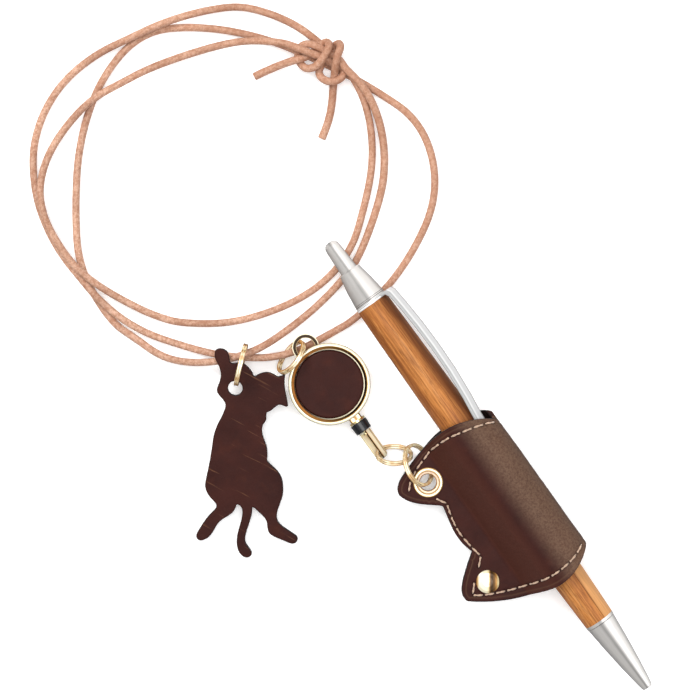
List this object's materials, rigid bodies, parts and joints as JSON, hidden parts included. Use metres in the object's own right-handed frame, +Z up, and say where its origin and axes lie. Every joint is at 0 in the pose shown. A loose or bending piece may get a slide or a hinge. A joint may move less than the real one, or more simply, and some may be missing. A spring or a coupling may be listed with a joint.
{
  "type": "neck strap with reel and pen sleeve",
  "caption": "Round leather neck strap tied with sliding knots, carrying a cat charm, a small retractable reel and a folded stitched leather sleeve that holds a wooden click pen.",
  "frame": {"origin": "centre of the reel's flat back, on the surface that everything lies on", "axes": "+Z up from the surface, +Y along the pen towards its push button, +X from the reel towards the pen"},
  "size_m": [0.1151, 0.2263, 0.015],
  "materials": {
    "tan_cord_leather": "natural vegetable tan, smooth",
    "dark_leather": "dark brown, satin",
    "beige_thread": "waxed",
    "gold_metal": "polished pale gold plating",
    "black_plastic": "gloss",
    "black_line": "braided",
    "white_plastic": "moulded",
    "spring_steel": "bright",
    "satin_metal": "satin",
    "polished_metal": "polished",
    "barrel_wood": "lacquered",
    "brass_tube": "turned",
    "refill_plastic": "extruded"
  },
  "bodies": {
    "neck_cord": {"neck_cord": "tan_cord_leather", "tail_left": "tan_cord_leather", "tail_right": "tan_cord_leather", "knot_left": "tan_cord_leather", "knot_right": "tan_cord_leather"},
    "charm_ring": {"charm_ring": "gold_metal"},
    "charm": {"cat_charm": "dark_leather", "charm_backing": "dark_leather"},
    "cord_ring": {"cord_ring": "gold_metal"},
    "reel": {"reel_case": "gold_metal", "reel_bezel": "gold_metal", "lug_ring": "gold_metal", "inlay_tray": "gold_metal", "leather_inlay": "dark_leather", "spring_cover": "white_plastic", "reel_axle": "spring_steel", "power_spring": "spring_steel", "outlet_nozzle": "gold_metal", "nozzle_washer": "gold_metal"},
    "drum": {"line_drum": "white_plastic", "line_winding": "black_line"},
    "line_end": {"pull_line": "black_line", "line_stopper": "black_plastic", "swivel_pin": "gold_metal"},
    "swivel": {"swivel_strap": "gold_metal"},
    "pull_ring": {"pull_ring": "gold_metal"},
    "eyelet_ring": {"eyelet_ring": "gold_metal"},
    "sleeve": {"sleeve_leather": "dark_leather", "sleeve_lining": "dark_leather", "sleeve_stitching": "beige_thread", "eyelet_front": "gold_metal", "eyelet_back": "gold_metal", "rivet_cap": "gold_metal", "rivet_post": "gold_metal"},
    "pen": {"upper_cone": "satin_metal", "pen_clip": "polished_metal", "pen_barrel": "barrel_wood", "barrel_liner": "brass_tube", "nose_cone": "polished_metal", "refill_spring": "spring_steel"},
    "plunger": {"pen_plunger": "polished_metal", "push_rod": "white_plastic"},
    "refill": {"refill_tube": "refill_plastic", "refill_tip": "brass_tube"}
  },
  "joints": [
    {"name": "charm_ring_turn", "type": "hinge", "parent": "neck_cord", "child": "charm_ring", "pos_m": [-0.0152, 0.0199, 0.0044], "axis": [0.953, -0.303, 0], "range_deg": [0, 80]},
    {"name": "charm_swing", "type": "hinge", "parent": "charm_ring", "child": "charm", "pos_m": [-0.02115, 0.01395, 0.0061], "axis": [0, 0, 1], "range_deg": [-10, 0]},
    {"name": "cord_ring_turn", "type": "hinge", "parent": "neck_cord", "child": "cord_ring", "pos_m": [-0.0048, 0.0134, 0.0027], "axis": [0.9352, -0.3541, 0], "range_deg": [-4, 0]},
    {"name": "reel_swing", "type": "hinge", "parent": "cord_ring", "child": "reel", "pos_m": [0.0006, 0.0118, 0.0049], "axis": [0, 0, 1], "range_deg": [-1, 6]},
    {"name": "line_pull", "type": "slide", "parent": "reel", "child": "line_end", "axis": [0, -1, 0], "range_m": [0, 0.45], "stiffness_N_per_m": 2, "springref_m": -0.2},
    {"name": "drum_spin", "type": "hinge", "parent": "reel", "child": "drum", "pos_m": [0, 0, 0.0025], "axis": [0, 0, 1], "range_deg": [0, 3401]},
    {"name": "strap_swivel", "type": "hinge", "parent": "line_end", "child": "swivel", "pos_m": [0.0003, -0.02, 0.0032], "axis": [0, -1, 0], "range_deg": [0, 120]},
    {"name": "pull_ring_turn", "type": "hinge", "parent": "swivel", "child": "pull_ring", "pos_m": [0.0003, -0.0234, 0.0032], "axis": [0.7071, 0, 0.7071], "range_deg": [0, 30]},
    {"name": "eyelet_ring_turn", "type": "hinge", "parent": "pull_ring", "child": "eyelet_ring", "pos_m": [0.00684, -0.0284, 0.0048], "axis": [0, 0, 1], "range_deg": [-30, 6]},
    {"name": "sleeve_turn", "type": "hinge", "parent": "eyelet_ring", "child": "sleeve", "pos_m": [0.0062, -0.037, 0.0046], "axis": [0.2201, 0.9755, 0], "range_deg": [-30, 0]},
    {"name": "pen_slide", "type": "slide", "parent": "sleeve", "child": "pen", "axis": [0, 1, 0], "range_m": [0, 0.075]},
    {"name": "plunger_press", "type": "slide", "parent": "pen", "child": "plunger", "axis": [0, -1, 0], "range_m": [0, 0.004], "stiffness_N_per_m": 600, "springref_m": -0.003},
    {"name": "refill_slide", "type": "slide", "parent": "pen", "child": "refill", "axis": [0, -1, 0], "range_m": [0, 0.0041], "deforming": ["refill_spring"]}
  ],
  "couplings": [
    {"joint": "drum_spin", "follows": "line_pull", "rad_per_m": 131.58},
    {"joint": "refill_slide", "follows": "plunger_press", "ratio": 1}
  ]
}
